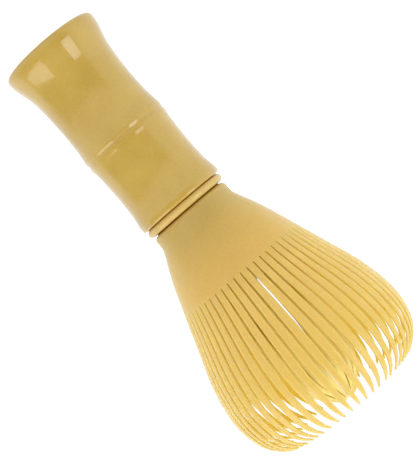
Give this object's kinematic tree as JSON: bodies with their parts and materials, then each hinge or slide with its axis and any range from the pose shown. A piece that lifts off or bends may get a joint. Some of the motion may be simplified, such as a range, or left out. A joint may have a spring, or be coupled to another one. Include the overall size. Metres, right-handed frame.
{
  "type": "tea whisk",
  "caption": "Moulded tea whisk: a hollow handle with a bamboo-like node, a collar ring, and a screw-in head of curled outer tines round a removable inner bundle.",
  "frame": {"origin": "centre of the handle's flat end face, which the whisk stands on", "axes": "+Z along the whisk's axis, from the handle to the tips of the tines; +X and +Y are free, the whisk is round"},
  "size_m": [0.0522, 0.0522, 0.1157],
  "materials": {
    "handle": "glossy olive-yellow resin",
    "end_cap": "glossy olive-yellow resin",
    "collar": "glossy cream resin",
    "outer_tines": "satin amber resin",
    "inner_tines": "satin straw resin"
  },
  "bodies": {
    "handle": {"handle_shell": "handle", "handle_end_cap": "end_cap"},
    "collar": {"collar_ring": "collar"},
    "head": {"outer_tines": "outer_tines"},
    "core": {"inner_tines": "inner_tines"}
  },
  "joints": [
    {"name": "head_turn", "type": "hinge", "parent": "handle", "child": "collar", "pos_m": [0, 0, 0.0525], "axis": [0, 0, 1], "range_deg": [0, 900]},
    {"name": "head_travel", "type": "slide", "parent": "collar", "child": "head", "axis": [0, 0, 1], "range_m": [0, 0.00755]},
    {"name": "inner_pull", "type": "slide", "parent": "head", "child": "core", "axis": [0, 0, 1], "range_m": [0, 0.011]}
  ],
  "couplings": [
    {"joint": "head_travel", "follows": "head_turn", "m_per_rad": 0.00047746}
  ]
}
